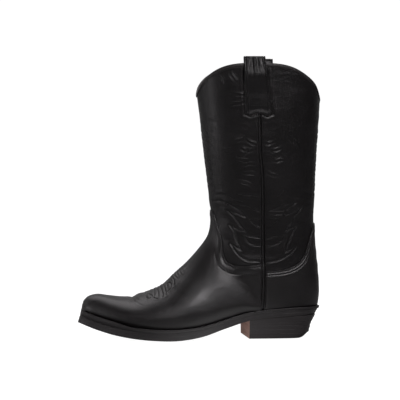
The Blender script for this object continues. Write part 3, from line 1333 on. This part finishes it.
def build_ring(name, start, end, count, bridge_count):
    """Half of the welt: round the toe if it starts at station 0, else round the heel.
    Returns its stitching run."""
    stations = np.linspace(start, end, count)
    at_toe = start == 0
    columns = WELT_COLUMNS
    grids = []
    for is_top, down in ((True, 0), (False, 0.3)):
        first = welt_side(stations, -1, down)[::-1]
        second = welt_side(stations, 1, down)
        if not at_toe:
            first, second = second, first
        bridge = np.linspace(-1, 1, bridge_count)[1:-1, None, None]
        middle = first[-1] * (1 - (bridge + 1) / 2) + second[0] * ((bridge + 1) / 2)
        if at_toe:
            middle[..., 0] -= TOE_BOW * (1 - np.abs(bridge[..., 0]) ** 3) * (1 - columns)
        x, y = np.moveaxis(np.concatenate([first, middle, second]), -1, 0)
        if is_top:
            # slopes inwards, with a rounded outer corner and a stitch groove
            z = sole_top(x, y) - 0.5 * columns
            z = z - np.interp(columns, [0, 0.015, 0.04, 0.09], [0.45, 0.16, 0.03, 0])
            z = z - 0.30 * bell(columns, width=0.05, at=0.2)
            # thicker lip round the toe
            z = z + 2.9 * (1 - step(x, -112, -82)) * (1 - step(columns, 0.45, 0.8))
        else:
            z = below_top(x, y, WELT_DEPTH) + 0.05
        grids.append(np.stack([x, y, z], -1))
    rides(shell(name, *grids, SOLE_EDGE), "foot", "sole_edge", name)
    row = grids[0][:, WELT_STITCH_COLUMN]
    return row, np.tile([0, 0, 1.0], (len(row), 1))


def build_welt():
    joint = 10.315
    run = build_ring("welt", 0, joint, scaled(170), bridge_count=13)
    build_ring("heel_rand", joint, 16, scaled(90), bridge_count=9)
    ob = stitches("welt_stitching", [run], length=2.2, gap=0.9, radius=0.32, lift=0.22)
    rides(ob, "foot", "sole_edge")


# ---------------------------------------------------------------- heel
# (height, x of the back) and (height, half width)
HEEL_BACK = [[0, 134.6], [6, 136.8], [11, 138.2], [16, 139.2], [20, 140.9], [24, 142.6],
             [28, 145.4], [31, 147.5], [45, 150]]
HEEL_HALF_WIDTH = [[0, 29.4], [10, 30.2], [20, 31.4], [30, 32.6], [45, 33]]
BREAST_X = 60.0
BREAST_SKEW = 0.07
ROUND_X = 100               # where the plan starts to close in to the back
LIFT_JOINTS = (19.9, 16.2, 11.3, 6.4)
NAIL_SPOTS = ([(104 + 20 * math.cos(math.radians(a)), 21 * math.sin(math.radians(a)))
               for a in (-60, -30, 0, 30, 60)]
              + [(90, 20.5), (90, -20.5), (72, 19.5), (72, -19.5), (68, 0)])


def flat(z):
    return lambda x, y: np.full_like(x, z)


def heel_bottom(x):
    """Underside of the heel, worn up at the back."""
    return 0.12 + np.minimum(4.9, 0.03 * np.maximum(0, x - 120) ** 2)


def heel_grid(height, plan_z, shrink=0.02):
    """Plan of the heel at plan_z, laid on a height function."""
    back = float(lookup(HEEL_BACK, plan_z))
    width = float(lookup(HEEL_HALF_WIDTH, plan_z))
    share = np.minimum(np.sin(np.pi / 2 * np.linspace(0, 1, scaled(60) + 1)), 0.9995)
    across = np.sin(np.linspace(-1, 1, even(24) + 1) * math.pi / 2)
    x, across = np.meshgrid(BREAST_X + (back - BREAST_X) * share, across, indexing="ij")
    closing = (x - ROUND_X) / (back - ROUND_X)
    rounded = width * np.maximum(0, 1 - np.abs(closing) ** 3.2) ** (1 / 3.2)
    half = np.where(x < ROUND_X, width - ((ROUND_X - x) / 40) ** 2, rounded)
    y = np.maximum(half - shrink, 0.3) * across
    skew = BREAST_SKEW * (y + 30) * (back - x) / (back - BREAST_X)
    x = x - shrink * np.clip(closing, 0, 1) - skew
    return np.stack([x, y, height(x, y)], -1)


def heel_step(middle, down):
    """Each lift steps out a little at the back."""
    return 0.45 * down * np.clip((middle[:, 0] - 108) / 20, 0, 1)


def build_lift(name, top, bottom_z):
    bottom = heel_grid(flat(bottom_z + 0.01), bottom_z)
    ob = solid(name, top, bottom, STACK, bulge=0.02, front_material=BREAST, outset=heel_step)
    rides(ob, "foot", "stacked_leather", name)


def build_nails():
    angle = np.arange(12) * math.pi / 6
    points, faces = [], []
    for x, y in NAIL_SPOTS:
        face = heel_bottom(x)
        ids = np.arange(72).reshape(6, 12) + 12 * len(points)
        rows = closed(ids)
        faces += walls(rows[:-1], rows[1:])
        for radius, z in ((0.0, face - 0.1), (0.6, face - 0.09), (0.95, face - 0.04),
                          (1.05, face + 0.06), (1.05, 4.9), (0.0, 4.9)):
            points.append(np.stack([x + radius * np.cos(angle), y + radius * np.sin(angle),
                                    np.full(12, z)], -1))
    ob = face_out(make("heel_nails", np.concatenate(points), faces, BRASS))
    rides(ob, "foot", "nail_brass", "heel_nails")


def build_heel():
    wedge_top = heel_grid(lambda x, y: sole_bottom(x, y) - 0.02, 28)
    build_lift("heel_wedge_lift", wedge_top, LIFT_JOINTS[0])
    for number, top_z, bottom_z in zip((3, 2, 1), LIFT_JOINTS, LIFT_JOINTS[1:]):
        build_lift(f"heel_lift_{number}", heel_grid(flat(top_z - 0.01), top_z), bottom_z)
    rubber_z = LIFT_JOINTS[-1]
    top = heel_grid(flat(rubber_z - 0.02), rubber_z, shrink=0.06)
    bottom = heel_grid(lambda x, y: heel_bottom(x), 0, shrink=0.35)
    ob = solid("heel_top_lift", top, bottom, RUBBER, bulge=0.06, front_material=BREAST)
    rides(ob, "foot", "heel_rubber", "heel_top_lift")
    build_nails()


build_vamp()
build_counter()
build_shaft_front()
build_shaft_back()
build_linings()
build_binding()
for side, tag in ((-1, "outer"), (1, "inner")):
    build_piping(side, tag)
    build_strap(side, tag)
build_soles()
build_welt()
build_heel()

# CAD nodes that are shown as they are
SHOWN = {"toe_box": STIFFENER, "heel_counter": STIFFENER, "insole": INSOLE,
         "heel_pad": FOOT_LINING, "cork_filler": CORK, "steel_shank": STEEL,
         "wooden_pegs": WOOD}
for node, material in SHOWN.items():
    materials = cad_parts[node].data.materials
    materials.clear()
    materials.append(material)


# ---------------------------------------------------------------- floor, light, camera
def pale(name, value, seen, thrown, pool=None):
    """Pale surface: how bright the camera sees it, and how much light it throws on the
    boot. pool is a brighter patch: centre, radius, strength."""
    shader = Shader(name)
    cloud = shader.noise(shader.place, 3.0, Detail=3.0)
    shader.set("Base Color", shader.ramp(cloud, 0.3, (value,) * 3, 0.7, (value + 0.02,) * 3))
    shader.set("Roughness", 0.9)
    shader.set("Specular IOR Level", 0.1)
    shader.set("Emission Color", (1, 1, 1, 1))
    camera_ray = shader.node("LightPath").outputs["Is Camera Ray"]
    if pool:
        centre, radius, strength = pool
        away = shader.node("VectorMath")
        away.operation = "DISTANCE"
        shader.put(shader.place, away.inputs[0])
        away.inputs[1].default_value = centre
        share = shader.math("DIVIDE", away.outputs["Value"], radius)
        near = shader.math("MAXIMUM", shader.math("SUBTRACT", 1.0, share), 0.0)
        thrown = shader.math("ADD", shader.math("MULTIPLY", near, strength), thrown)
    seen_part = shader.math("MULTIPLY", camera_ray, seen)
    other_rays = shader.math("SUBTRACT", 1.0, camera_ray)
    thrown_part = shader.math("MULTIPLY", other_rays, thrown)
    shader.set("Emission Strength", shader.math("ADD", seen_part, thrown_part))
    return shader.material


def plane(name, width, depth, location, tilt, material):
    """Flat sheet; width and depth in metres, tilt about X in degrees."""
    x, y = width * 500, depth * 500
    corners = [(-x, -y, 0), (x, -y, 0), (x, y, 0), (-x, y, 0)]
    ob = make(name, corners, [[0, 1, 2, 3]], material, smooth=False)
    ob.location = location
    ob.rotation_euler = (math.radians(tilt), 0, 0)


def build_world():
    """White to the camera, nearly black to every other ray."""
    world = bpy.data.worlds.new("studio")
    bpy.context.scene.world = world
    world.use_nodes = True
    nodes, links = world.node_tree.nodes, world.node_tree.links
    background = nodes["Background"]
    path = nodes.new("ShaderNodeLightPath")
    mix = nodes.new("ShaderNodeMix")
    mix.data_type = "RGBA"
    links.new(path.outputs["Is Camera Ray"], mix.inputs["Factor"])
    mix.inputs["A"].default_value = (0.010, 0.010, 0.0105, 1)
    mix.inputs["B"].default_value = (1, 1, 1, 1)
    links.new(mix.outputs["Result"], background.inputs["Color"])
    background.inputs["Strength"].default_value = 1.0


LIGHT_TINT = (1.0, 0.962, 0.985)
# name, location, target, width, height, power
SOFTBOXES = [
    ("key_above_camera", (0.44, -1.28, 1.16), (0.0, 0.0, 0.08), 0.60, 0.30, 12.5),
    ("front_left", (-1.5, -0.9, 0.9), (0.0, 0.0, 0.18), 0.7, 0.9, 0.8),
    ("low_left", (-1.7, -0.45, 0.10), (0.0, 0.0, 0.02), 0.6, 0.16, 2.6),
    ("top_light", (-0.1, 0.7, 1.6), (-0.05, 0.0, 0.1), 2.0, 1.2, 13),
    ("left_strip", (-1.6, 0.35, 0.6), (0.0, 0.0, 0.18), 0.35, 1.2, 1.8),
    ("right_fill", (1.6, -0.5, 0.8), (0.0, 0.0, 0.2), 0.6, 0.9, 0.3)]


def softbox(name, location, target, width, height, power):
    light = bpy.data.lights.new(name, "AREA")
    light.energy = power
    light.color = LIGHT_TINT
    light.shape = "RECTANGLE"
    light.size = width
    light.size_y = height
    ob = bpy.data.objects.new(name, light)
    bpy.context.scene.collection.objects.link(ob)
    ob.location = location
    aim = Vector(target) - Vector(location)
    ob.rotation_euler = aim.to_track_quat("-Z", "Y").to_euler()


def build_camera():
    """Long lens on the outer side, looking slightly down."""
    lens = bpy.data.cameras.new("camera")
    lens.lens = 144.8
    lens.sensor_width = 36
    lens.clip_start = 0.05
    lens.clip_end = 60
    camera = bpy.data.objects.new("camera", lens)
    bpy.context.scene.collection.objects.link(camera)
    camera.location = (-0.1904, -1.9908, 0.2777)
    camera.rotation_euler = (math.radians(90 - 3.06), 0, math.radians(-5.5))
    bpy.context.scene.camera = camera


plane("floor", width=14, depth=14, location=(0, 0, -0.0006), tilt=0,
      material=pale("pale_floor", value=0.30, seen=1.0, thrown=0.02,
                    pool=((0.01, -0.06, 0.0), 0.12, 0.9)))
plane("backdrop", width=14, depth=6, location=(0, 4.0, 2.0), tilt=90,
      material=pale("pale_backdrop", value=0.5, seen=1.0, thrown=0.22))
build_world()
for row in SOFTBOXES:
    softbox(*row)
build_camera()
bpy.context.scene.view_settings.view_transform = "Standard"
bpy.context.scene.view_settings.look = "None"
